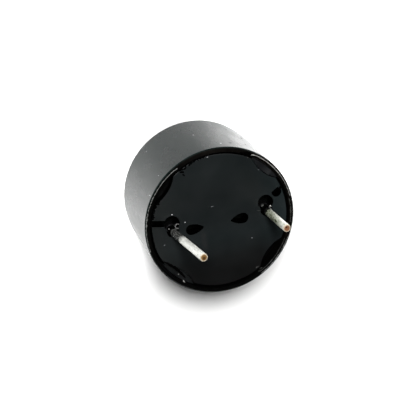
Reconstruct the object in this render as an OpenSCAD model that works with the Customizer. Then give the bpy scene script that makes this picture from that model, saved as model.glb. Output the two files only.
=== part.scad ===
// Magnetic buzzer, 12 mm, two pins at 7.6 mm.
// It stands on its sound face: z = 0 is the end with the sound port, the
// pins point up (+Z), the axis is x = y = 0 and the pins lie on the X axis.

/* [Case] */
// Outside diameter of the case
case_d = 12; // [11.8:0.1:14]
// Height of the case, from the sound face to the rim round the pins
case_h = 8; // [7.5:0.1:11]
// Thickness of the wall that closes the sound end
end_wall = 0.8; // [0.6:0.1:1.2]
// Thickness of the side wall beside the magnet
side_wall = 0.7; // [0.6:0.05:0.8]
// Thickness of the thin lip that holds the base plate
lip_wall = 0.38; // [0.3:0.02:0.5]
// Thickness of the wall round the sound chamber
chamber_wall = 1.1; // [1:0.05:1.3]
// Height of the sound chamber in front of the diaphragm
chamber_h = 1.7; // [1.4:0.1:2]
// Diameter of the sound port
port_d = 2.2; // [1.5:0.1:3]
// Rounding of the edge at the sound end
end_round = 0.35; // [0.1:0.05:0.5]
// Chamfer on the outer edge of the rim
rim_chamfer = 0.12; // [0.05:0.01:0.18]
// Height of the slightly smaller band at the sound end
band_h = 1; // [0.6:0.1:1.5]
// How much smaller the radius of that band is
band_inset = 0.06; // [0.02:0.01:0.12]

/* [Base plate] */
// Thickness of the base plate
plate_t = 1.2; // [1:0.1:1.4]
// How far the base plate lies below the rim
plate_recess = 0.15; // [0.05:0.05:0.3]
// Radius of the softened upper edge of the base plate
plate_round = 0.15; // [0.05:0.05:0.25]
// Diameter of the inspection hole beside each pin
eye_d = 1.25; // [1:0.05:1.4]
// Distance from the pin line to the middle of the inspection hole
eye_offset = 0.66; // [0.5:0.02:0.8]
// Width of the slot that the pin stands in
pin_slot_w = 0.96; // [0.8:0.02:1.1]
// Width of each window, across its round end
window_d = 0.86; // [0.7:0.02:1]
// Length of each window
window_l = 1.46; // [1.2:0.02:1.6]
// Distance between the middles of the two windows
window_pitch = 3.6; // [3.2:0.05:3.8]
// How far the windows lie off the pin line
window_offset = 0.2; // [0:0.05:0.4]
// How far both windows lie towards the long pin
window_shift = 0.25; // [0:0.05:0.3]
// Width of the wire channel that runs to the lip
channel_w = 0.5; // [0.4:0.05:0.7]
// Depth of the wire channel and of the key hole
channel_depth = 0.7; // [0.4:0.05:0.8]
// Direction in which the wire channel leaves its inspection hole
channel_turn = 168; // [155:1:180]
// Diameter of the key hole beside the short pin
key_d = 0.8; // [0.6:0.05:0.8]
// Gap between the key hole and the plate's softened edge
key_edge = 0.02; // [0.02:0.01:0.15]
// Angle of the key hole's middle, seen from the axis
key_angle = 15.6; // [15:0.2:17]
// Distance from the key hole's middle to its flat
key_flat = 0.25; // [0.1:0.05:0.4]
// Direction of that flat, from the X axis
key_turn = 32; // [20:1:45]

/* [Glue pockets] */
// Radius of the arc that cuts each pocket out of the plate
pocket_r = 3; // [2:0.1:4]
// Half the angle between the two upper pockets' middles, seen from the axis
pocket_angle_upper = 49; // [44:1:54]
// Half the angle between the two lower pockets' middles
pocket_angle_lower = 46; // [42:1:52]
// How deep the upper pockets bite into the edge of the plate
pocket_bite_upper = 0.54; // [0.4:0.02:0.7]
// How deep the lower pockets bite into the edge of the plate
pocket_bite_lower = 0.68; // [0.4:0.02:0.8]
// Depth of the glue below the plate, in the upper pocket by the short pin
glue_depth_1 = 0.12; // [0.08:0.02:0.9]
// Depth of the glue in the upper pocket by the long pin
glue_depth_2 = 0.5; // [0.08:0.02:0.9]
// Depth of the glue in the lower pocket by the long pin
glue_depth_3 = 0.22; // [0.08:0.02:0.9]
// Depth of the glue in the lower pocket by the short pin
glue_depth_4 = 0.9; // [0.08:0.02:0.9]
// Depth of the hollow in the top of each bead of glue
glue_dish = 0.08; // [0.02:0.02:0.14]

/* [Pins] */
// Diameter of the pin wire
pin_d = 0.6; // [0.5:0.05:0.7]
// Distance between the two pins
pin_pitch = 7.6; // [7:0.1:7.8]
// Length of the long pin above the rim
long_pin_l = 7; // [5:0.1:9]
// Length of the short pin above the rim
short_pin_l = 4.3; // [3:0.1:6]
// How far the long pin is bent away from upright
long_pin_lean = 6.5; // [1:0.1:8]
// Direction in which the long pin is bent, from the X axis
long_pin_turn = 50; // [0:1:90]
// How far the short pin is bent away from upright
short_pin_lean = 2.3; // [1:0.1:8]
// Direction in which the short pin is bent, from the X axis
short_pin_turn = 42; // [0:1:90]
// Height of both bends above the base plate
bend_rise = 0.2; // [0.15:0.05:0.5]
// Diameter of the flat head that holds each pin under the board
head_d = 1; // [0.85:0.05:1.1]
// Thickness of the pin head
head_t = 0.25; // [0.2:0.05:0.35]
// Diameter of the solder cone at each pin
solder_d = 1.15; // [1:0.05:1.2]
// Height of the solder cone
solder_h = 0.5; // [0.3:0.05:0.6]

/* [Drive] */
// Thickness of the circuit board
board_t = 0.6; // [0.4:0.1:0.8]
// Thickness of the yoke plate
yoke_t = 0.8; // [0.7:0.05:1]
// Width of the two notches that clear the pin heads
yoke_notch_w = 1.7; // [1.5:0.05:2]
// Diameter of the core that carries the coil
core_d = 2.4; // [2:0.1:2.8]
// Diameter of the core's riveted end in the yoke plate
rivet_d = 1.6; // [1.2:0.1:1.8]
// Gap between the end of the core and the diaphragm
air_gap = 0.25; // [0.15:0.05:0.35]
// Inside diameter of the ring magnet
magnet_id = 7.1; // [6.9:0.1:7.3]
// Gap between the ring magnet and the case
magnet_gap = 0.2; // [0.1:0.05:0.3]
// Height of the support ring
ring_h = 0.65; // [0.5:0.05:0.8]
// Depth of the seat in the support ring, where the diaphragm lies
ring_seat = 0.25; // [0.2:0.05:0.35]
// Width of the shelf under the edge of the diaphragm
ring_shelf = 0.55; // [0.4:0.05:0.6]
// Thickness of the diaphragm
diaphragm_t = 0.07; // [0.05:0.01:0.1]
// Diameter of the iron disc on the diaphragm
mass_d = 3; // [2.6:0.1:4]
// Thickness of the iron disc
mass_t = 0.42; // [0.3:0.02:0.6]
// Wall of the bobbin's tube
bobbin_wall = 0.25; // [0.2:0.05:0.35]
// Thickness of each bobbin flange
flange_t = 0.25; // [0.2:0.05:0.35]
// Diameter of the coil's wire, as wound
wire_d = 0.12; // [0.08:0.01:0.14]

/* [Fits] */
// Gap round the base plate and the board in the lip
plate_gap = 0.1; // [0.05:0.01:0.15]
// Running gap between inner pieces
fit_gap = 0.05; // [0.03:0.01:0.08]

/* [Hidden] */
$fn = 96;

case_r = case_d / 2;
lip_r = case_r - lip_wall;
bore_r = case_r - side_wall;
chamber_r = case_r - chamber_wall;
pin_r = pin_d / 2;
pin_x = pin_pitch / 2;
core_r = core_d / 2;
wire_r = wire_d / 2;

// Levels, from the sound face up
ledge_z = end_wall + chamber_h;
magnet_z = ledge_z + ring_h;
plate_top = case_h - plate_recess;
board_top = plate_top - plate_t;
yoke_top = board_top - board_t;
yoke_z = yoke_top - yoke_t;
diaphragm_top = ledge_z + ring_seat;
diaphragm_z = diaphragm_top - diaphragm_t;
core_z = diaphragm_top + air_gap;
bobbin_z = core_z + fit_gap;
head_z = yoke_top - head_t;

plate_r = lip_r - plate_gap;
ring_r = bore_r - fit_gap;
diaphragm_r = chamber_r - fit_gap;
magnet_r = bore_r - magnet_gap;
yoke_r = bore_r - fit_gap;
yoke_notch_r = pin_x - yoke_notch_w / 2;
bobbin_hole_r = core_r + fit_gap;
barrel_r = bobbin_hole_r + bobbin_wall;
flange_r = magnet_id / 2 - 3 * fit_gap;
coil_r = flange_r - wire_d;
coil_z = bobbin_z + flange_t;
coil_top = yoke_z - flange_t;
lead_r = pin_x - head_d / 2;
lead_turn_z = head_z - 2 * wire_d;
head_solder_h = 2.5 * wire_d;
lead_reach = head_d / 4;

// Each pocket: angle of its middle, distance of its arc from the axis, level of its glue
pockets = [
    [90 - pocket_angle_upper, plate_r - pocket_bite_upper, plate_top - glue_depth_1],
    [90 + pocket_angle_upper, plate_r - pocket_bite_upper, plate_top - glue_depth_2],
    [270 - pocket_angle_lower, plate_r - pocket_bite_lower, plate_top - glue_depth_3],
    [270 + pocket_angle_lower, plate_r - pocket_bite_lower, plate_top - glue_depth_4]
];

// A little more than nothing, so that cuts pass through the faces they open
over = 0.1;

module post(z0, z1, r) {
    translate([0, 0, z0]) cylinder(r = r, h = z1 - z0);
}

module tube(z0, z1, r_out, r_in) {
    difference() {
        post(z0, z1, r_out);
        post(z0 - over, z1 + over, r_in);
    }
}

// A round bar between two points, with a ball at each end
module bar(a, b, r) {
    v = b - a;
    l = norm(v);
    translate(a) rotate([0, acos(v[2] / l), atan2(v[1], v[0])]) cylinder(r = r, h = l);
    for (p = [a, b]) translate(p) sphere(r = r);
}

// ---- case -------------------------------------------------------------

// Cup from a straight post whose lower edge is rounded off
module rounded_cup(z1, r, round) {
    post(0, z1, r - round);
    post(round, z1, r);
    translate([0, 0, round]) rotate_extrude() translate([r - round, 0]) circle(r = round);
}

module case() color([0.09, 0.09, 0.1]) {
    band_r = case_r - band_inset;
    difference() {
        union() {
            rounded_cup(band_h + over, band_r, end_round);
            translate([0, 0, band_h]) cylinder(r1 = band_r, r2 = case_r, h = band_inset);
            post(band_h + band_inset, case_h - rim_chamfer, case_r);
            translate([0, 0, case_h - rim_chamfer])
                cylinder(r1 = case_r, r2 = case_r - rim_chamfer, h = rim_chamfer);
        }
        post(-over, end_wall + over, port_d / 2);
        post(end_wall, ledge_z + over, chamber_r);
        post(ledge_z, yoke_top + over, bore_r);
        post(yoke_top, case_h + over, lip_r);
    }
}

// ---- base plate and what sits round it ----------------------------------

// The round cutter of one pocket, as an upright post
module pocket_post(p, z0, z1, grow = 0) {
    rotate([0, 0, p[0]]) translate([p[1] + pocket_r, 0, 0]) post(z0, z1, pocket_r + grow);
}

// Keyhole round one pin: an inspection hole and the slot that the pin stands in
module keyhole(side) {
    translate([side * pin_x, 0, 0]) {
        translate([0, eye_offset, 0]) post(board_top - over, plate_top + over, eye_d / 2);
        post(board_top - over, plate_top + over, pin_slot_w / 2);
        translate([-pin_slot_w / 2, 0, board_top - over])
            cube([pin_slot_w, eye_offset, plate_t + 2 * over]);
    }
}

// Window with a round outer end and two curved flanks that meet in a point
module window(side) {
    r = window_d / 2;
    reach = window_l - r;
    flank_r = (reach * reach + r * r) / window_d;
    x = side * (window_pitch / 2 + window_l / 2 - r) - window_shift;
    translate([x, -window_offset, board_top - over])
        linear_extrude(plate_t + 2 * over) mirror([side > 0 ? 1 : 0, 0]) {
            circle(r = r);
            intersection() {
                translate([0, r - flank_r]) circle(r = flank_r);
                translate([0, flank_r - r]) circle(r = flank_r);
                translate([0, -r]) square([reach, window_d]);
            }
        }
}

// Channel from the long pin's keyhole to the lip
module wire_channel() {
    translate([-pin_x, eye_offset, plate_top - channel_depth]) rotate([0, 0, channel_turn])
        translate([0, -channel_w / 2, 0]) cube([case_r - pin_x + over, channel_w, channel_depth + over]);
}

// Blind D-shaped hole beside the short pin's keyhole
module key_hole() {
    reach = plate_r - plate_round - key_edge - key_d / 2;
    translate([reach * cos(key_angle), reach * sin(key_angle), plate_top - channel_depth])
        rotate([0, 0, key_turn]) difference() {
            cylinder(r = key_d / 2, h = channel_depth + over);
            translate([-key_d, key_flat, -over])
                cube([2 * key_d, key_d, channel_depth + 3 * over]);
        }
}

module base_plate() color([0.05, 0.055, 0.06]) {
    difference() {
        union() {
            post(board_top, plate_top - plate_round, plate_r);
            post(board_top, plate_top, plate_r - plate_round);
            translate([0, 0, plate_top - plate_round])
                rotate_extrude() translate([plate_r - plate_round, 0]) circle(r = plate_round);
        }
        for (p = pockets) pocket_post(p, board_top - over, plate_top + over);
        for (side = [-1, 1]) {
            keyhole(side);
            window(side);
        }
        wire_channel();
        key_hole();
    }
}

module glue_bead(i) color([0.1, 0.09, 0.12]) {
    p = pockets[i];
    dish_r = pocket_r;
    mid = (p[1] + lip_r) / 2;
    difference() {
        intersection() {
            post(board_top, p[2], lip_r - fit_gap);
            pocket_post(p, board_top - over, p[2] + over, -fit_gap);
        }
        rotate([0, 0, p[0]]) translate([mid, 0, p[2] + dish_r - glue_dish]) sphere(r = dish_r);
    }
}

module circuit_board() color([0.1, 0.3, 0.16]) {
    difference() {
        post(yoke_top, board_top, plate_r);
        for (side = [-1, 1])
            translate([side * pin_x, 0, 0]) post(yoke_top - over, board_top + over, pin_r + fit_gap);
    }
}

// ---- pins, their solder and the coil's leads ------------------------------

// Everything above (or below) the plane in which a pin is bent by "lean" degrees
module mitre_block(lean, above) {
    w = 4 * pin_d;
    rotate([0, lean / 2, 0]) translate([-w / 2, -w / 2, above ? 0 : -w]) cube(w);
}

// A nail-headed pin: upright through board and plate, then bent by "lean" degrees
module pin(side, top_l, lean, turn) {
    bend_z = plate_top + bend_rise;
    length = (case_h + top_l - bend_z) / cos(lean);
    translate([side * pin_x, 0, 0]) {
        post(head_z, yoke_top, head_d / 2);
        difference() {
            post(head_z, bend_z + pin_r, pin_r);
            translate([0, 0, bend_z]) rotate([0, 0, turn]) mitre_block(lean, true);
        }
        translate([0, 0, bend_z]) rotate([0, 0, turn]) difference() {
            rotate([0, lean, 0]) translate([0, 0, -pin_r]) cylinder(r = pin_r, h = length + pin_r);
            mitre_block(lean, false);
        }
    }
}

module long_pin() color([0.82, 0.82, 0.8]) pin(-1, long_pin_l, long_pin_lean, long_pin_turn);
module short_pin() color([0.82, 0.82, 0.8]) pin(1, short_pin_l, short_pin_lean, short_pin_turn);

// Solder cone on the board, round one pin
module pin_solder(side) color([0.7, 0.71, 0.72]) {
    translate([side * pin_x, 0, board_top]) difference() {
        cylinder(r1 = solder_d / 2 - 3 * fit_gap, r2 = pin_r + fit_gap, h = solder_h);
        translate([0, 0, -over]) cylinder(r = pin_r, h = solder_h + 2 * over);
    }
}

// Route of one coil lead: up past the flange, then out to the pin's head
function lead_route(side) = [
    [side * lead_r, 0, coil_top - wire_d],
    [side * lead_r, 0, lead_turn_z],
    [side * (pin_x - lead_reach), 0, lead_turn_z]
];

module lead_bars(side) {
    p = lead_route(side);
    bar(p[0], p[1], wire_r);
    bar(p[1], p[2], wire_r);
}

module coil_lead(side) color([0.72, 0.4, 0.2]) lead_bars(side);

// Solder under the pin's head, round the end of the lead
module lead_solder(side) color([0.7, 0.71, 0.72]) {
    difference() {
        translate([side * pin_x, 0, head_z - head_solder_h])
            cylinder(r1 = head_d / 4, r2 = head_d / 2 - fit_gap, h = head_solder_h);
        lead_bars(side);
    }
}

// ---- coil, magnet and diaphragm ---------------------------------------

// Slot in the upper flange, for a lead
module lead_slot(side, z0, z1) {
    translate([side * lead_r, 0, 0]) post(z0, z1, wire_d);
    translate([side > 0 ? lead_r : -case_r, -wire_d, z0])
        cube([case_r - lead_r, 2 * wire_d, z1 - z0]);
}

module bobbin() color([0.85, 0.83, 0.76]) {
    difference() {
        union() {
            post(bobbin_z, yoke_z, barrel_r);
            post(bobbin_z, coil_z, flange_r);
            post(coil_top, yoke_z, flange_r);
        }
        post(bobbin_z - over, yoke_z + over, bobbin_hole_r);
        for (side = [-1, 1]) lead_slot(side, coil_top - over, yoke_z + over);
    }
}

// Winding: its outer layer shows the single turns
module coil() color([0.72, 0.4, 0.2]) {
    z0 = coil_z + fit_gap;
    z1 = coil_top - fit_gap;
    turns = floor((z1 - z0) / wire_d);
    pitch = (z1 - z0) / turns;
    difference() {
        union() {
            post(z0, z1, coil_r - wire_d);
            for (i = [0 : turns - 1])
                translate([0, 0, z0 + (i + 0.5) * pitch])
                    rotate_extrude() translate([coil_r - wire_d, 0]) circle(r = pitch / 2);
        }
        post(z0 - over, z1 + over, barrel_r + fit_gap);
        for (side = [-1, 1]) lead_slot(side, coil_top - 2 * wire_d, z1 + over);
    }
}

module core_pole() color([0.62, 0.63, 0.65]) {
    post(core_z, yoke_z, core_r);
    post(core_z, yoke_top, rivet_d / 2);
}

module yoke_plate() color([0.66, 0.67, 0.7]) {
    difference() {
        post(yoke_z, yoke_top, yoke_r);
        post(yoke_z - over, yoke_top + over, rivet_d / 2);
        for (side = [-1, 1]) {
            translate([side * pin_x, 0, 0]) post(yoke_z - over, yoke_top + over, yoke_notch_w / 2);
            translate([side > 0 ? pin_x : -case_r, -yoke_notch_w / 2, yoke_z - over])
                cube([case_r - pin_x, yoke_notch_w, yoke_t + 2 * over]);
        }
    }
}

module ring_magnet() color([0.2, 0.2, 0.22]) tube(magnet_z, yoke_z, magnet_r, magnet_id / 2);

module support_ring() color([0.75, 0.68, 0.5]) {
    difference() {
        tube(ledge_z, magnet_z, ring_r, diaphragm_r - ring_shelf);
        post(ledge_z - over, diaphragm_top, diaphragm_r + fit_gap / 2);
    }
}

module diaphragm() color([0.78, 0.78, 0.76]) post(diaphragm_z, diaphragm_top, diaphragm_r);

module mass_disc() color([0.6, 0.6, 0.62]) post(diaphragm_z - mass_t, diaphragm_z, mass_d / 2);

// ---- one call per node --------------------------------------------------

case();
base_plate();
circuit_board();
long_pin();
short_pin();
pin_solder(-1);  // long_pin_solder
pin_solder(1);  // short_pin_solder
lead_solder(-1);  // long_lead_solder
lead_solder(1);  // short_lead_solder
coil_lead(-1);  // long_coil_lead
coil_lead(1);  // short_coil_lead
coil();
bobbin();
core_pole();
yoke_plate();
ring_magnet();
support_ring();
diaphragm();
mass_disc();
glue_bead(0);  // glue_bead_1
glue_bead(1);  // glue_bead_2
glue_bead(2);  // glue_bead_3
glue_bead(3);  // glue_bead_4
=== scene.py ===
import math
import random

import bpy
from mathutils import Matrix, Vector


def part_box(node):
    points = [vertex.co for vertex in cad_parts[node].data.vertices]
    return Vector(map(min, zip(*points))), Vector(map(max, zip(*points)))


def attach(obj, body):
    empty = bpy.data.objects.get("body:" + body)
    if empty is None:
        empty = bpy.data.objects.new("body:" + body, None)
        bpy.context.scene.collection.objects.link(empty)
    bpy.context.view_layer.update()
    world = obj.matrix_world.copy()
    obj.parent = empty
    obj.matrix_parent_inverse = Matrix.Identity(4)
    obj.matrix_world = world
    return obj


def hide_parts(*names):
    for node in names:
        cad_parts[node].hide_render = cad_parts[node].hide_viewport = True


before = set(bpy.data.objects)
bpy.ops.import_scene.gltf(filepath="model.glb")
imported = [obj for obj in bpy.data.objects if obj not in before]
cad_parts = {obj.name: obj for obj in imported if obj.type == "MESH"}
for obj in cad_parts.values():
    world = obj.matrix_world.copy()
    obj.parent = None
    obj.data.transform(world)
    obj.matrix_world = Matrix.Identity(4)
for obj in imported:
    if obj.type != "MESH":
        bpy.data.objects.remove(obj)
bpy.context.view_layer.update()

# The buzzer stands on its sound face, z = 0, with its pins up. Places and sizes are in
# millimetres, as in the part's source, and MM turns them into Blender's metres.
MM = 0.001


# ---- sizes that the solids give ------------------------------------------------------
def lowest(node):
    """A node's lowest corner, in mm, rounded because the frame is in single precision."""
    return [round(c / MM, 4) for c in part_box(node)[0]]


def highest(node):
    """A node's highest corner, in mm."""
    return [round(c / MM, 4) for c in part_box(node)[1]]


CASE_R, _, RIM_Z = highest("case")
PLATE_Z = highest("base_plate")[2]
BOARD_TOP = highest("circuit_board")[2]
HEAD_TOP = lowest("circuit_board")[2]
HEAD_FOOT = lowest("long_pin")[2]

# ---- sizes of the pins, the same as in the part's source -----------------------------
PIN_X = 3.8
PIN_R = 0.3
HEAD_R = 0.5
BEND_RISE = 0.2
BEND_Z = PLATE_Z + BEND_RISE


def polar(r, angle, z):
    """A point at radius `r`, `angle` degrees round the case's axis, at level `z`."""
    a = math.radians(angle)
    return Vector((r * math.cos(a), r * math.sin(a), z))


class Pin:
    """Where a pin bends and ends. It leans `lean` degrees towards `turn` degrees."""

    def __init__(self, side, above_rim, lean, turn):
        tilt = math.radians(lean)
        self.bend = Vector((side * PIN_X, 0, BEND_Z))
        self.axis = polar(math.sin(tilt), turn, math.cos(tilt))
        self.length = (RIM_Z + above_rim - BEND_Z) / math.cos(tilt)
        self.tip = self.bend + self.axis * self.length


LONG_PIN = Pin(side=-1, above_rim=7.0, lean=6.5, turn=50)
SHORT_PIN = Pin(side=1, above_rim=4.3, lean=2.3, turn=42)


# ---- helpers for node materials ------------------------------------------------------
def rgba(value):
    """A colour with its alpha; a single number is a grey."""
    if isinstance(value, (int, float)):
        value = (value, value, value)
    return (*value, 1.0)


def set_stops(ramp, stops):
    """Gives a colour ramp its stops, each (place from 0 to 1, colour or grey)."""
    while len(ramp.elements) < len(stops):
        ramp.elements.new(0.5)
    for element, (place, value) in zip(ramp.elements, stops):
        element.position = place
        element.color = rgba(value)


class Tree:
    """A material's node tree round one Principled shader, and short ways to add to it."""

    SOCKETS = {"color": "Base Color", "rough": "Roughness", "metal": "Metallic",
               "normal": "Normal", "ior": "IOR", "specular": "Specular IOR Level"}
    MIX_SOCKETS = (0, 6, 7)  # a Mix node's factor and its two colours

    def __init__(self, name):
        self.mat = bpy.data.materials.new(name)
        self.mat.use_nodes = True
        self.mat.node_tree.nodes.clear()
        out = self.node("OutputMaterial")
        self.bsdf = self.node("BsdfPrincipled")
        self.link(self.bsdf.outputs[0], out.inputs["Surface"])
        self.coords = self.node("TexCoord").outputs["Object"]

    def node(self, kind):
        return self.mat.node_tree.nodes.new("ShaderNode" + kind)

    def link(self, output, socket):
        self.mat.node_tree.links.new(output, socket)

    def put(self, socket, value):
        """Sets a socket to a number or colour, or links it to an output."""
        if isinstance(value, bpy.types.NodeSocket):
            self.link(value, socket)
        else:
            socket.default_value = rgba(value) if socket.type == "RGBA" else value

    def shade(self, **values):
        """Sets or links the shader's own sockets."""
        for key, value in values.items():
            self.put(self.bsdf.inputs[self.SOCKETS[key]], value)

    def calc(self, operation, a, b=0.0, c=0.0):
        n = self.node("Math")
        n.operation = operation
        for socket, value in zip(n.inputs, (a, b, c)):
            self.put(socket, value)
        return n.outputs[0]

    def vector(self, operation, a, b=(0, 0, 0)):
        n = self.node("VectorMath")
        n.operation = operation
        self.put(n.inputs[0], a)
        self.put(n.inputs[1], b)
        gives_number = operation in ("LENGTH", "DOT_PRODUCT", "DISTANCE")
        return n.outputs[1] if gives_number else n.outputs[0]

    def scaled(self, vector, factor):
        n = self.node("VectorMath")
        n.operation = "SCALE"
        self.put(n.inputs[0], vector)
        self.put(n.inputs["Scale"], factor)
        return n.outputs[0]

    def xyz(self):
        n = self.node("SeparateXYZ")
        self.link(self.coords, n.inputs[0])
        return n.outputs[0], n.outputs[1], n.outputs[2]

    def flat(self):
        """Object coordinates with the height left out."""
        return self.vector("MULTIPLY", self.coords, (1, 1, 0))

    def noise(self, size, detail=3.0, rough=0.6, stretch=(1, 1, 1), distort=0.0):
        """Noise whose features are about `size` mm across."""
        place = self.node("Mapping")
        self.link(self.coords, place.inputs[0])
        place.inputs["Scale"].default_value = stretch
        n = self.node("TexNoise")
        self.link(place.outputs[0], n.inputs["Vector"])
        n.inputs["Scale"].default_value = 1 / (size * MM)
        n.inputs["Detail"].default_value = detail
        n.inputs["Roughness"].default_value = rough
        n.inputs["Distortion"].default_value = distort
        return n.outputs[0]

    def ramp(self, value, stops):
        """Colour or grey from a value between 0 and 1."""
        n = self.node("ValToRGB")
        self.link(value, n.inputs[0])
        set_stops(n.color_ramp, stops)
        return n.outputs[0]

    def ramp_mm(self, value, stops):
        """Colour or grey from a length; the stops' places are in mm."""
        low, span = stops[0][0], stops[-1][0] - stops[0][0]
        share = self.calc("MULTIPLY_ADD", value, 1 / (span * MM), -low / span)
        return self.ramp(share, [((place - low) / span, tone) for place, tone in stops])

    def band(self, value, middle, full, end):
        """1 up to `full` mm away from `middle`, and down to 0 at `end` mm from it."""
        away = self.calc("ABSOLUTE", self.calc("SUBTRACT", value, middle * MM))
        return self.ramp_mm(away, [(full, 1.0), (end, 0.0)])

    def mix(self, factor, a, b, blend="MIX"):
        """Blends two colours or greys."""
        n = self.node("Mix")
        n.data_type = "RGBA"
        n.blend_type = blend
        for place, value in zip(self.MIX_SOCKETS, (factor, a, b)):
            self.put(n.inputs[place], value)
        return n.outputs[2]

    def bump(self, height, depth):
        """Bump whose height runs over `depth` mm."""
        n = self.node("Bump")
        n.inputs["Strength"].default_value = 1.0
        n.inputs["Distance"].default_value = depth * MM
        self.link(height, n.inputs["Height"])
        return n.outputs[0]


# ---- materials -----------------------------------------------------------------------
def case_material():
    """Satin black on the side wall; dull black on the rim and inside."""
    t = Tree("case_plastic")
    z = t.xyz()[2]
    smudge = t.noise(1.1, 4, stretch=(1, 1, 0.4), distort=0.3)
    grain = t.noise(0.09, 2)
    wall = t.ramp(smudge, [(0.3, (0.0014, 0.0050, 0.0046)), (0.7, (0.0028, 0.0080, 0.0074))])
    satin = t.ramp(smudge, [(0.3, 0.24), (0.7, 0.33)])

    # The rim's tone changes along a line that runs towards the glue by the short pin
    across = t.vector("DOT_PRODUCT", t.coords, (0.82, 0.57, 0))
    rim = t.ramp_mm(across, [(0.0, (0.0030, 0.0030, 0.0028)), (3.3, (0.0085, 0.0076, 0.0065)),
                             (4.4, (0.0052, 0.0047, 0.0042))])
    blotch = t.ramp(t.noise(0.5, rough=0.5), [(0.3, 0.7), (0.7, 1.3)])
    rim = t.mix(1.0, rim, blotch, "MULTIPLY")

    # What counts as metal loses the pale sheen, so that rim, inside and foot stay dark; at the foot
    # this is painted shade where the wall meets the floor
    dull_within_r = CASE_R - 0.07
    dull_above_z = 1.3
    within = t.calc("LESS_THAN", t.vector("LENGTH", t.flat()), dull_within_r * MM)
    above = t.calc("GREATER_THAN", z, dull_above_z * MM)
    dull = t.calc("MULTIPLY", within, above)
    foot = t.ramp_mm(z, [(0.15, 0.5), (0.6, 0.0)])
    t.shade(color=t.mix(dull, wall, rim), rough=t.mix(dull, satin, 0.7), ior=1.4,
            metal=t.calc("MAXIMUM", dull, foot), specular=0.24, normal=t.bump(grain, 0.003))
    return t.mat


def plate_material():
    """Dull grey-black face with painted highlights; painted shade, black, in every hole and slot."""
    t = Tree("plate_plastic")
    x, y, z = t.xyz()
    cloud = t.noise(2.6, 2, 0.5)
    base = t.ramp(cloud, [(0.3, (0.0016, 0.0027, 0.0029)), (0.7, (0.0025, 0.0037, 0.0039))])

    # Darkest at the lower edge, lighter just below the pin line and towards the short pin
    rising = t.ramp_mm(y, [(-4.2, 0.02), (-3.2, 0.1), (-2.4, 0.3), (-1.4, 0.5), (0.0, 0.38),
                           (2.0, 0.32), (4.0, 0.42)])
    beside = t.ramp_mm(x, [(3.0, 0.0), (5.5, 0.5)])
    tone = t.calc("MULTIPLY", t.calc("ADD", rising, beside), 4.4)
    color = t.mix(1.0, base, tone, "MULTIPLY")

    # Painted highlights: a pale band round the edge by the long pin, and a short pale streak below
    # the pin line
    edge_highlight_tone = (0.0066, 0.0078, 0.0077)
    streak_highlight_tone = (0.0080, 0.0092, 0.0095)
    clear_middle = (1.3 * MM, 1.0 * MM, 0)
    outward = t.ramp_mm(t.vector("DISTANCE", t.flat(), clear_middle), [(3.92, 0.0), (7.84, 1.0)])
    leftward = t.ramp_mm(x, [(-5.0, 1.0), (-3.5, 0.0)])
    color = t.mix(t.calc("MULTIPLY", outward, leftward), color, edge_highlight_tone)
    streak = t.calc("MULTIPLY", t.band(x, -1.45, 0.08, 0.3), t.band(y, -1.35, 0.5, 0.95))
    color = t.mix(streak, color, streak_highlight_tone)

    # Holes and slots: painted shade, black and with no sheen
    hole_shade_black = 0.0004
    in_hole = t.calc("LESS_THAN", z, (PLATE_Z - 0.01) * MM)
    half_gloss = t.ramp(cloud, [(0.3, 0.40), (0.7, 0.50)])
    t.shade(color=t.mix(in_hole, color, hole_shade_black), metal=in_hole, ior=1.38,
            rough=t.mix(in_hole, half_gloss, 0.7))
    return t.mat


def uneven_material(name, dark, light, rough, specular, size=0.3, depth=0.02):
    """A surface such as cured glue or torn plastic, with lumps `depth` mm high."""
    t = Tree(name)
    cloud = t.noise(size, 4, distort=0.4)
    t.shade(color=t.ramp(cloud, [(0.35, dark), (0.65, light)]), rough=rough,
            specular=specular, normal=t.bump(cloud, depth))
    return t.mat


def plain_material(name, dark, light, rough, size=0.3, metal=0.0):
    """A nearly smooth surface whose tone drifts between two colours."""
    t = Tree(name)
    cloud = t.noise(size)
    t.shade(color=t.ramp(cloud, [(0.3, dark), (0.7, light)]), rough=rough, metal=metal,
            normal=t.bump(cloud, 0.004))
    return t.mat


def metal_material(name, dark, light, rough, size=0.2):
    return plain_material(name, dark, light, rough, size, metal=1.0)


def barrel_material():
    """Solder barrels: a painted glint, bright, on their rounded rims, and painted shade, black, below
    them.
    """
    t = Tree("solder_painted_glint")
    bright = (0.24, 0.24, 0.235)
    black = 0.002
    on_rim = t.ramp_mm(t.xyz()[2], [(7.53, 0.0), (7.61, 1.0)])
    t.shade(color=t.mix(on_rim, black, bright), rough=0.3, metal=t.mix(on_rim, 1.0, 0.5))
    return t.mat


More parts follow.
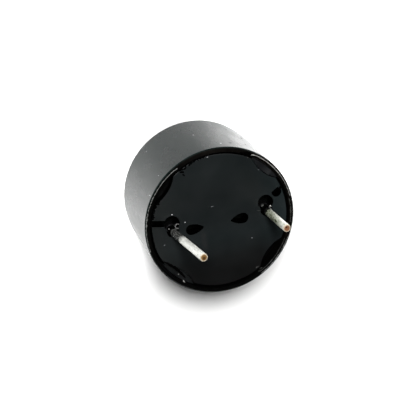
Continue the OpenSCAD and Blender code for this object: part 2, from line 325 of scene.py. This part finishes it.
def pin_material(name, pin, root_shade, root, tin, core, spot, stain=None):
    """Tinned wire with a dark root and bare metal in its cut end.

    Lengths are in mm from the bend. Up to `root_shade` the wire is black, as painted shade at its
    root;
    `root` is where its mottled part starts to fade and where it ends. That dark, mottled root stands
    partly for flux and partly for a painted reflection of the dark plate. `tin` is the shade and the
    light of the tin, and `core` the bare metal. `spot` is the dark patch on the cut end: its place
    from the tip, its radius and its colour; on the long pin it is painted shade on the lower side of
    the cut end, on the short pin a dark mark. `stain` is a mottled side: its direction, how fast it
    narrows along the pin, and how far it reaches past the middle at the bend."""
    t = Tree(name)
    from_bend = t.vector("SUBTRACT", t.coords, tuple(pin.bend * MM))
    along = t.vector("DOT_PRODUCT", from_bend, tuple(pin.axis))
    sideways = t.vector("SUBTRACT", from_bend, t.scaled(tuple(pin.axis), along))
    streak = t.noise(0.16, 4, 0.65, stretch=(1, 1, 0.25))
    glassy = t.noise(0.13, 4, 0.7, stretch=(1, 1, 0.6))
    uneven = t.calc("SUBTRACT", t.noise(0.24, 5, 0.75), 0.5)

    def ragged(value, depth):
        """The length with up to about half of `depth` mm added or taken off."""
        return t.calc("MULTIPLY_ADD", uneven, depth * MM, value)

    # The wire's side. Its dark, mottled root stands partly for flux and partly for a painted
    # reflection of the dark plate
    tinned = t.ramp(streak, [(0.3, tin[0]), (0.62, tin[1])])
    mottled = t.ramp(glassy, [(0.40, (0.018, 0.017, 0.015)), (0.60, (0.42, 0.43, 0.41))])
    dark = t.ramp_mm(ragged(along, 1.1), [(root[0], 1.0), (root[1], 0.0)])
    color = t.mix(dark, tinned, mottled)
    if stain:
        direction, slope, start = stain
        reach = ragged(t.vector("DOT_PRODUCT", sideways, direction), 0.5)
        limit = t.calc("MULTIPLY_ADD", along, slope, -start * MM)
        stained = t.ramp_mm(t.calc("SUBTRACT", reach, limit), [(0.02, 0.0), (0.2, 1.0)])
        green = t.ramp(glassy, [(0.42, (0.030, 0.042, 0.015)), (0.58, (0.42, 0.44, 0.35))])
        color = t.mix(stained, color, green)

    # Its cut end
    sheared_tin = (0.52, 0.45, 0.34)
    at_cut = t.calc("GREATER_THAN", along, (pin.length - 0.05) * MM)
    in_core = t.ramp_mm(t.vector("LENGTH", sideways), [(0.18, 1.0), (0.25, 0.0)])
    color = t.mix(at_cut, color, sheared_tin)
    color = t.mix(t.calc("MULTIPLY", in_core, at_cut), color, core)
    # The dark spot: painted shade on the lower side of the long pin's cut end, a dark mark on the
    # short pin's
    place, radius, shade = spot
    to_spot = t.vector("DISTANCE", t.coords, tuple((pin.tip + Vector(place)) * MM))
    in_spot = t.ramp_mm(to_spot, [(radius - 0.03, 1.0), (radius + 0.03, 0.0)])
    color = t.mix(in_spot, color, shade)

    # Painted shade at the bend: black over all else
    root_shade_black = 0.004
    in_root_shade = t.calc("LESS_THAN", ragged(along, 0.33), root_shade * MM)
    satin = t.ramp(streak, [(0.3, 0.42), (0.7, 0.55)])
    t.shade(color=t.mix(in_root_shade, color, root_shade_black), rough=t.mix(dark, satin, 0.2),
            metal=t.mix(dark, 0.3, 0.8), normal=t.bump(streak, 0.006))
    return t.mat


case_mat = case_material()
plate_mat = plate_material()
long_mat = pin_material(
    "tinned_wire_long", LONG_PIN, root_shade=0.05, root=(1.9, 2.6),
    tin=((0.46, 0.47, 0.44), (0.64, 0.65, 0.61)), core=(0.22, 0.11, 0.025),
    spot=((0.0, -0.04, 0), 0.11, (0.07, 0.035, 0.01)))
short_mat = pin_material(
    "tinned_wire_short", SHORT_PIN, root_shade=0.5, root=(0.0, 0.2),
    tin=((0.36, 0.38, 0.31), (0.66, 0.67, 0.61)), core=(0.25, 0.11, 0.05),
    spot=((-0.04, 0.09, 0), 0.07, (0.02, 0.008, 0.004)), stain=((-0.95, 0.3, 0), 0.10, 0.15))
glint_and_shade_mat = barrel_material()

# Hidden pieces and trim: name, darker colour, lighter colour, roughness, size of the drift
solder_mat = metal_material("solder", (0.03, 0.03, 0.032), (0.07, 0.07, 0.073), 0.4)
copper_mat = metal_material("enamelled_wire", (0.5, 0.2, 0.08), (0.8, 0.38, 0.18), 0.3, 0.1)
iron_mat = metal_material("plated_iron", (0.5, 0.51, 0.53), (0.66, 0.67, 0.69), 0.3)
spring_mat = metal_material("spring_steel", (0.62, 0.62, 0.6), (0.74, 0.74, 0.72), 0.25)
brass_mat = metal_material("ring_brass", (0.6, 0.45, 0.22), (0.8, 0.62, 0.33), 0.3)
ferrite_mat = plain_material("ferrite", (0.05, 0.05, 0.055), (0.1, 0.1, 0.105), 0.6)
bobbin_mat = plain_material("bobbin_plastic", (0.66, 0.62, 0.5), (0.78, 0.74, 0.62), 0.45)
# Pale and grey flash, also used as painted highlights where the pieces stand for glints on edges and
# solder
pale_flash_and_highlight_mat = plain_material("pale_flash_and_painted_highlight", (0.16, 0.16, 0.15), (0.34, 0.34, 0.32), 0.4, 0.15)
dim_flash_highlight_mat = plain_material("dim_flash_painted_highlight", (0.06, 0.063, 0.06), (0.19, 0.195, 0.185), 0.4, 0.15)
grey_flash_and_highlight_mat = plain_material("grey_flash_and_painted_highlight", (0.012, 0.013, 0.012), (0.05, 0.052, 0.047), 0.4, 0.15)
dust_mat = plain_material("dust", (0.45, 0.46, 0.48), (0.75, 0.76, 0.78), 0.8, 0.05)
faint_mat = plain_material("dust_faint", (0.07, 0.075, 0.08), (0.16, 0.165, 0.17), 0.8, 0.05)

# The board is near-black as painted shade: it stands for the dark deep in the holes and windows
board_shade_mat = uneven_material("board", (0.0006, 0.0010, 0.0007), (0.0012, 0.0018, 0.0013),
                            rough=0.8, specular=0.02)
glue_1 = uneven_material("glue_purple", (0.0026, 0.0033, 0.0040), (0.0042, 0.0049, 0.0056),
                         rough=0.45, specular=0.3, depth=0.006)
# The second and fourth beads are the same glue as the others, painted darker for the shade deep in
# their pockets
glue_2 = uneven_material("glue_painted_shade", (0.0003, 0.0003, 0.0003), (0.0016, 0.0018, 0.0018),
                         rough=0.5, specular=0.05)
glue_3 = uneven_material("glue_gloss", (0.0030, 0.0034, 0.0036), (0.0070, 0.0078, 0.0080),
                         rough=0.4, specular=0.2)
glue_4 = uneven_material("glue_deep_painted_shade", (0.0002, 0.0002, 0.0002), (0.0006, 0.0006, 0.0006),
                         rough=0.8, specular=0.02)
# Black for torn flash and dark specks, and as painted shade in gaps and along the pocket wall
black_specks_and_shade_mat = uneven_material("black_flash_specks_and_painted_shade", (0.0002, 0.0002, 0.0002), (0.0012, 0.0012, 0.0012),
                           rough=0.8, specular=0.0, size=0.1)

NODE_MATERIALS = {
    "case": case_mat, "base_plate": plate_mat, "circuit_board": board_shade_mat,
    "long_pin": long_mat, "short_pin": short_mat,
    "long_pin_solder": solder_mat, "short_pin_solder": solder_mat,
    "long_lead_solder": solder_mat, "short_lead_solder": solder_mat,
    "long_coil_lead": copper_mat, "short_coil_lead": copper_mat, "coil": copper_mat,
    "bobbin": bobbin_mat, "core_pole": iron_mat, "yoke_plate": iron_mat,
    "ring_magnet": ferrite_mat, "support_ring": brass_mat, "diaphragm": spring_mat,
    "mass_disc": iron_mat, "glue_bead_1": glue_1, "glue_bead_2": glue_2,
    "glue_bead_3": glue_3, "glue_bead_4": glue_4,
}
for node, mat in NODE_MATERIALS.items():
    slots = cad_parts[node].data.materials
    slots.clear()
    slots.append(mat)


# ---- makers of the small pieces ------------------------------------------------------
def add_object(name, data):
    """A new object in the scene."""
    obj = bpy.data.objects.new(name, data)
    bpy.context.scene.collection.objects.link(obj)
    return obj


def piece(name, verts, faces, mat, smooth=True):
    """A mesh from points in mm, riding on the part."""
    mesh = bpy.data.meshes.new(name)
    mesh.from_pydata([tuple(c * MM for c in v) for v in verts], [], faces)
    if smooth:
        mesh.polygons.foreach_set("use_smooth", [True] * len(mesh.polygons))
    mesh.materials.append(mat)
    obj = add_object(name, mesh)
    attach(obj, "root")
    return obj


def ring_faces(rings, sides, first=0):
    """Quads between neighbouring rings of points, which start at point `first`."""
    faces = []
    for start in range(first, first + (rings - 1) * sides, sides):
        for k in range(sides):
            a, b = start + k, start + (k + 1) % sides
            faces.append((a, b, b + sides, a + sides))
    return faces


def spindle(name, bottom, rings, top, mat):
    """A closed skin from a point over rings of points to another point."""
    sides = len(rings[0])
    verts = [bottom, *[p for points in rings for p in points], top]
    faces = ring_faces(len(rings), sides, first=1)
    last = len(verts) - 1
    for k in range(sides):
        j = (k + 1) % sides
        faces.append((0, 1 + j, 1 + k))
        faces.append((last - sides + k, last - sides + j, last))
    return piece(name, verts, faces, mat)


def ring(r, z, x=0.0, y=0.0, sides=40):
    """Points on a level circle round (x, y)."""
    return [Vector((x, y, 0)) + polar(r, 360 * k / sides, z) for k in range(sides)]


def wire_pin(name, node, pin, mat):
    """A pin as in the solids, with the softened edge of its cut end."""
    soft = 0.03
    profile = [(HEAD_R - soft, HEAD_FOOT), (HEAD_R, HEAD_FOOT + soft), (HEAD_R, HEAD_TOP - soft),
               (HEAD_R - soft, HEAD_TOP), (PIN_R + 0.01, HEAD_TOP), (PIN_R, HEAD_TOP + 0.02),
               (PIN_R, PLATE_Z - 0.25)]
    rings = [ring(r, z, x=pin.bend.x) for r, z in profile]
    mitre = (pin.axis + Vector((0, 0, 1))).normalized()
    knee = [pin.bend + u - Vector((0, 0, u.dot(mitre) / mitre.z)) for u in ring(PIN_R, 0)]
    rings.append(knee)
    end = [p + pin.axis * (pin.tip - p).dot(pin.axis) for p in knee]
    edge = [(2.0, 1.0), (0.05, 1.0), (0.03, 0.96), (0.01, 0.9), (0.0, 0.85), (0.0, 0.825)]
    for below_tip, share_of_radius in edge:
        middle = pin.tip - pin.axis * below_tip
        rings.append([middle + (p - pin.tip) * share_of_radius for p in end])
    bottom = Vector((pin.bend.x, 0, HEAD_FOOT))
    wire = spindle(name, bottom, rings, pin.tip, mat)
    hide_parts(node)


def barrel(name, x, y, top, outer, inner):
    """Barrel of solder on the board, with a rounded rim and a deep blind hole."""
    middle, lip = (outer + inner) / 2, (outer - inner) / 2
    profile = [(outer, BOARD_TOP)]
    for turn in range(0, 181, 30):
        over = polar(lip, turn, 0)
        profile.append((middle + over.x, top - lip + over.y))
    profile.append((inner, BOARD_TOP + lip))
    rings = [ring(r, z, x, y, sides=28) for r, z in profile]
    spindle(name, (x, y, BOARD_TOP), rings, (x, y, BOARD_TOP + lip), glint_and_shade_mat)


def ridge(name, mat, base, path, seed, rough=0.25, sides=6):
    """Thin uneven ridge. Each station of its path is (angle, radius, level above `base`,
    half width, half height)."""
    rng = random.Random(seed)
    longest_step = 0.8
    stations = []
    for here, there in zip(path, path[1:]):
        n = max(2, int(abs(there[0] - here[0]) / longest_step))
        stations += [[u + (w - u) * k / n for u, w in zip(here, there)] for k in range(n)]
    stations.append(path[-1])
    verts = []
    for angle, r, level, half, height in stations:
        wide = half * (1 + rng.uniform(-rough, rough))
        tall = height * (1 + rng.uniform(-rough, rough))
        middle = r + half * rng.uniform(-rough, rough)
        for k in range(sides):
            t = 2 * math.pi * k / sides
            verts.append(polar(middle + wide * math.cos(t), angle, base + level + tall * math.sin(t)))
    last = len(verts) - sides
    faces = ring_faces(len(stations), sides)
    faces.append(tuple(reversed(range(sides))))
    faces.append(tuple(range(last, last + sides)))
    piece(name, verts, faces, mat)


# Corners and faces of a regular icosahedron
GOLDEN = (1 + 5 ** 0.5) / 2
ICO_V = [(-1, GOLDEN, 0), (1, GOLDEN, 0), (-1, -GOLDEN, 0), (1, -GOLDEN, 0),
         (0, -1, GOLDEN), (0, 1, GOLDEN), (0, -1, -GOLDEN), (0, 1, -GOLDEN),
         (GOLDEN, 0, -1), (GOLDEN, 0, 1), (-GOLDEN, 0, -1), (-GOLDEN, 0, 1)]
ICO_F = [(0, 11, 5), (0, 5, 1), (0, 1, 7), (0, 7, 10), (0, 10, 11), (1, 5, 9), (5, 11, 4),
         (11, 10, 2), (10, 7, 6), (7, 1, 8), (3, 9, 4), (3, 4, 2), (3, 2, 6), (3, 6, 8),
         (3, 8, 9), (4, 9, 5), (2, 4, 11), (6, 2, 10), (8, 6, 7), (9, 8, 1)]


def lumps(name, mat, seed, items, jitter=0.25):
    """Small irregular lumps; each item is (place, half sizes, turn in degrees)."""
    rng = random.Random(seed)
    verts, faces = [], []
    for place, half, turn in items:
        spin = Matrix.Rotation(math.radians(turn), 3, "Z")
        first = len(verts)
        for v in ICO_V:
            d = Vector(v).normalized() * (1 + rng.uniform(-jitter, jitter))
            verts.append(Vector(place) + spin @ Vector((d.x * half[0], d.y * half[1], d.z * half[2])))
        faces += [tuple(first + i for i in f) for f in ICO_F]
    piece(name, verts, faces, mat, smooth=False)


def on_plate(x, y, rise, half, turn=0):
    """A lump whose middle is `rise` mm above the plate."""
    return (x, y, PLATE_Z + rise), half, turn


def on_wall(angle, z, half):
    """A lump on the side wall; its second half size is the one that stands out."""
    return polar(CASE_R - 0.005, angle, z), half, angle + 90


# ---- the small pieces ----------------------------------------------------------------
wire_pin("long_pin_wire", "long_pin", LONG_PIN, long_mat)
wire_pin("short_pin_wire", "short_pin", SHORT_PIN, short_mat)

# Thin flash along the rim, coloured pale as painted highlights of the rim's edges
ridge("rim_flash_highlight_1", dim_flash_highlight_mat, RIM_Z, seed=3, path=[
    (119, 5.76, 0, 0.05, 0.05), (122, 5.79, 0, 0.03, 0.03), (146, 5.85, 0, 0.022, 0.02)])
ridge("rim_flash_highlight_6", dim_flash_highlight_mat, RIM_Z, seed=9, rough=0.9, path=[
    (146.5, 5.86, 0, 0.025, 0.02), (170, 5.89, -0.01, 0.03, 0.02), (192, 5.91, -0.02, 0.02, 0.015)])
ridge("rim_flash_highlight_2", pale_flash_and_highlight_mat, RIM_Z, seed=4, path=[
    (57.5, 5.72, 0, 0.06, 0.06), (54, 5.80, 0, 0.028, 0.03), (30, 5.82, 0, 0.026, 0.025),
    (8, 5.84, 0, 0.015, 0.012)])
ridge("rim_flash_highlight_5", grey_flash_and_highlight_mat, RIM_Z, seed=8, rough=0.9, path=[
    (6, 5.74, 0, 0.02, 0.012), (0, 5.74, 0, 0.03, 0.018), (-14, 5.74, 0, 0.02, 0.01)])
ridge("rim_flash_highlight_3", dim_flash_highlight_mat, RIM_Z, seed=5, rough=0.9, path=[
    (-26, 5.84, 0, 0.015, 0.012), (-45, 5.84, 0, 0.02, 0.02), (-62, 5.84, 0, 0.015, 0.012)])
ridge("rim_flash_highlight_4", grey_flash_and_highlight_mat, RIM_Z, seed=6, rough=0.9, path=[
    (-28, 5.64, 0, 0.015, 0.012), (-45, 5.64, 0, 0.02, 0.02), (-62, 5.64, 0, 0.015, 0.012)])

# Dark line round the glue in the lower pocket by the long pin: painted shadow of the pocket's wall
ridge("pocket_wall_shadow_line", black_specks_and_shade_mat, PLATE_Z, seed=14, path=[
    (-157, 5.52, 0.01, 0.04, 0.05), (-152, 5.24, 0.02, 0.08, 0.06), (-144, 5.07, 0.02, 0.10, 0.06),
    (-137, 5.07, 0.02, 0.10, 0.06), (-130, 5.26, 0.02, 0.06, 0.05)])

# Ragged dark edge of the plate, by the long pin and at the top: painted shade of the gap between
# plate and rim
ridge("plate_gap_shade_left", black_specks_and_shade_mat, PLATE_Z, seed=15, rough=0.9, path=[
    (149, 5.30, 0, 0.10, 0.02), (160, 5.42, 0, 0.10, 0.02), (172, 5.46, 0, 0.09, 0.02)])
ridge("plate_gap_shade_top", black_specks_and_shade_mat, PLATE_Z, seed=16, rough=0.9, path=[
    (92, 5.50, 0, 0.04, 0.02), (104, 5.44, 0, 0.08, 0.02), (117, 5.36, 0, 0.09, 0.02)])

# Torn flash at the ends of the pockets. The bright lumps in the lower pocket by the long pin are
# painted glints on its glue, and the black lumps by the rim's edge are partly torn flash and partly
# painted shade in the gap between rim and plate
lumps("bright_flash_and_glints", pale_flash_and_highlight_mat, seed=11, items=[
    on_plate(3.14, 4.80, 0.13, (0.12, 0.05, 0.05), -30),
    on_plate(-3.88, -3.60, 0.05, (0.06, 0.05, 0.05), 30),
    on_plate(-3.53, -4.32, 0.05, (0.20, 0.06, 0.05), -62)])
lumps("flash_chips_grey", grey_flash_and_highlight_mat, seed=12, items=[
    on_plate(2.50, -4.62, 0.01, (0.17, 0.05, 0.04), 10),
    on_plate(2.80, -4.78, 0.03, (0.16, 0.05, 0.05), 25),
    on_plate(2.62, -4.98, 0.07, (0.12, 0.05, 0.05), -20),
    on_plate(2.80, 4.62, 0.01, (0.07, 0.04, 0.03), 40)])
lumps("black_flash_and_gap_shade", black_specks_and_shade_mat, seed=13, items=[
    on_plate(2.78, 5.00, 0.16, (0.38, 0.18, 0.06), -30),
    on_plate(2.42, 5.12, 0.15, (0.30, 0.10, 0.05), -22),
    on_plate(3.02, 4.62, 0.03, (0.16, 0.07, 0.04), -50),
    on_plate(5.10, 1.58, 0.0, (0.24, 0.10, 0.03), 55),
    on_plate(-2.45, 4.62, 0.03, (0.22, 0.09, 0.05), -18),
    on_plate(-2.35, 4.35, 0.02, (0.14, 0.06, 0.04), -40),
    on_plate(-2.62, 4.82, 0.05, (0.25, 0.10, 0.06), 20)])

# Solder seen in the inspection holes beside the pins, with painted glints: bright rims on the barrels
# and pale lumps
barrel("long_pin_barrel", -3.35, 0.27, top=7.74, outer=0.21, inner=0.165)
barrel("short_pin_barrel", 4.29, 0.06, top=7.64, outer=0.18, inner=0.10)
lumps("solder_glints", pale_flash_and_highlight_mat, seed=24, items=[
    on_plate(4.25, 0.17, -0.13, (0.20, 0.035, 0.03), -10),
    on_plate(-4.06, 0.23, -0.13, (0.06, 0.04, 0.03))])

# Dust, and a grey lump deep in the hole by the short pin as a painted glint
lumps("dust_bright", dust_mat, seed=21, items=[
    on_plate(-3.70, 1.40, 0.01, (0.06, 0.05, 0.04)),
    on_plate(-2.77, 0.54, 0.01, (0.055, 0.035, 0.03), 20),
    on_plate(-0.35, 5.36, 0.03, (0.05, 0.03, 0.03))])
lumps("dust_faint", faint_mat, seed=22, items=[
    on_plate(-0.48, 1.31, 0.01, (0.09, 0.03, 0.02), 10),
    on_plate(-4.63, -0.97, 0.01, (0.09, 0.03, 0.02), 35),
    on_plate(2.37, -2.04, 0.01, (0.05, 0.05, 0.02)),
    on_plate(3.56, 3.46, 0.005, (0.10, 0.02, 0.01), 20)])
lumps("hole_glint_and_dust", grey_flash_and_highlight_mat, seed=23, items=[
    on_plate(3.66, 0.22, -0.40, (0.15, 0.13, 0.10)),
    on_plate(3.17, 0.12, 0.01, (0.12, 0.05, 0.02), -10)])

# Specks on the side wall
lumps("wall_specks_light", dust_mat, seed=31, items=[
    on_wall(93, 4.05, (0.06, 0.02, 0.05)), on_wall(80, 7.03, (0.07, 0.02, 0.05)),
    on_wall(129, 1.8, (0.03, 0.01, 0.03)), on_wall(133, 6.9, (0.04, 0.01, 0.03)),
    on_wall(148, 7.5, (0.04, 0.01, 0.05)), on_wall(84, 5.2, (0.03, 0.01, 0.03))])
lumps("wall_specks_dark", black_specks_and_shade_mat, seed=32, items=[
    on_wall(53, 3.8, (0.10, 0.02, 0.07)), on_wall(72, 6.85, (0.14, 0.02, 0.05)),
    on_wall(48, 4.5, (0.07, 0.02, 0.05)), on_wall(62, 2.4, (0.05, 0.02, 0.05)),
    on_wall(84, 2.2, (0.05, 0.02, 0.04)), on_wall(58, 6.2, (0.05, 0.02, 0.05))])


# ---- floor, lights and camera --------------------------------------------------------
def make_floor():
    """White square floor under the sound face, 0.8 m across."""
    half = 400 * MM
    mesh = bpy.data.meshes.new("floor")
    corners = [(-half, -half, 0), (half, -half, 0), (half, half, 0), (-half, half, 0)]
    mesh.from_pydata(corners, [], [(0, 1, 2, 3)])
    t = Tree("floor_white")
    t.shade(color=(0.86, 0.86, 0.855), rough=0.6, specular=0.2)
    mesh.materials.append(t.mat)
    add_object("floor", mesh)


def make_lamp(name, kind, place, target, power):
    """A lamp at `place` mm that points at `target` mm; gives its settings and its throw."""
    data = bpy.data.lights.new(name, kind)
    data.energy = power
    lamp = add_object(name, data)
    lamp.location = Vector(place) * MM
    lamp.rotation_mode = "QUATERNION"
    throw = Vector(target) - Vector(place)
    lamp.rotation_quaternion = throw.normalized().to_track_quat("-Z", "Y")
    return data, throw.length


def sun(name, place, spread, strength):
    """Wide even light from the direction of `place`, `spread` degrees across."""
    data, _ = make_lamp(name, "SUN", place, (0, 0, 0), strength)
    data.angle = math.radians(spread)


def spot(name, place, target, radius, power):
    """Soft spot that lights a patch of the floor, `radius` mm round `target` mm."""
    data, distance = make_lamp(name, "SPOT", place, target, power)
    data.spot_size = 2 * math.atan(radius / distance)
    data.spot_blend = 0.5
    data.shadow_soft_size = 4 * MM


def make_world():
    """White below and round the horizon, dim overhead."""
    world = bpy.data.worlds.new("studio")
    bpy.context.scene.world = world
    world.use_nodes = True
    nodes, links = world.node_tree.nodes, world.node_tree.links
    nodes.clear()
    out = nodes.new("ShaderNodeOutputWorld")
    sky = nodes.new("ShaderNodeBackground")
    direction = nodes.new("ShaderNodeTexCoord")
    split = nodes.new("ShaderNodeSeparateXYZ")
    fade = nodes.new("ShaderNodeValToRGB")
    set_stops(fade.color_ramp, [(0.0, 1.0), (0.15, 0.85), (0.36, 0.13), (0.7, 0.06)])
    sky.inputs["Strength"].default_value = 1.0
    links.new(direction.outputs["Generated"], split.inputs[0])
    links.new(split.outputs["Z"], fade.inputs[0])
    links.new(fade.outputs[0], sky.inputs["Color"])
    links.new(sky.outputs[0], out.inputs["Surface"])


def make_camera():
    """The camera's place, the way it faces, and its lens in pixels of a square picture."""
    picture_px = 420
    focal_px = 1200
    sensor_mm = 36
    right = Vector((0.95221, -0.12314, 0.27955))
    up = Vector((0.21716, 0.91648, -0.33599))
    back = Vector((-0.21483, 0.38064, 0.89942))
    place = Vector((-20.499, 36.177, 90.803))
    data = bpy.data.cameras.new("camera")
    data.sensor_width = sensor_mm
    data.lens = focal_px / picture_px * sensor_mm
    data.clip_start = 1 * MM
    data.clip_end = 10
    camera = add_object("camera", data)
    turned = Matrix((right, up, back)).transposed().to_4x4()
    turned.translation = place * MM
    camera.matrix_world = turned
    bpy.context.scene.camera = camera


make_floor()
make_world()
make_camera()
sun("key", place=(-27, 115, 180), spread=15, strength=4.7)
spot("floor_right", place=(60, 50, 130), target=(13.5, 8.5, 0), radius=10, power=3.4)
spot("floor_left", place=(-70, 10, 130), target=(-14, 0.5, 0), radius=9, power=1.8)
bpy.context.scene.view_settings.view_transform = "Standard"
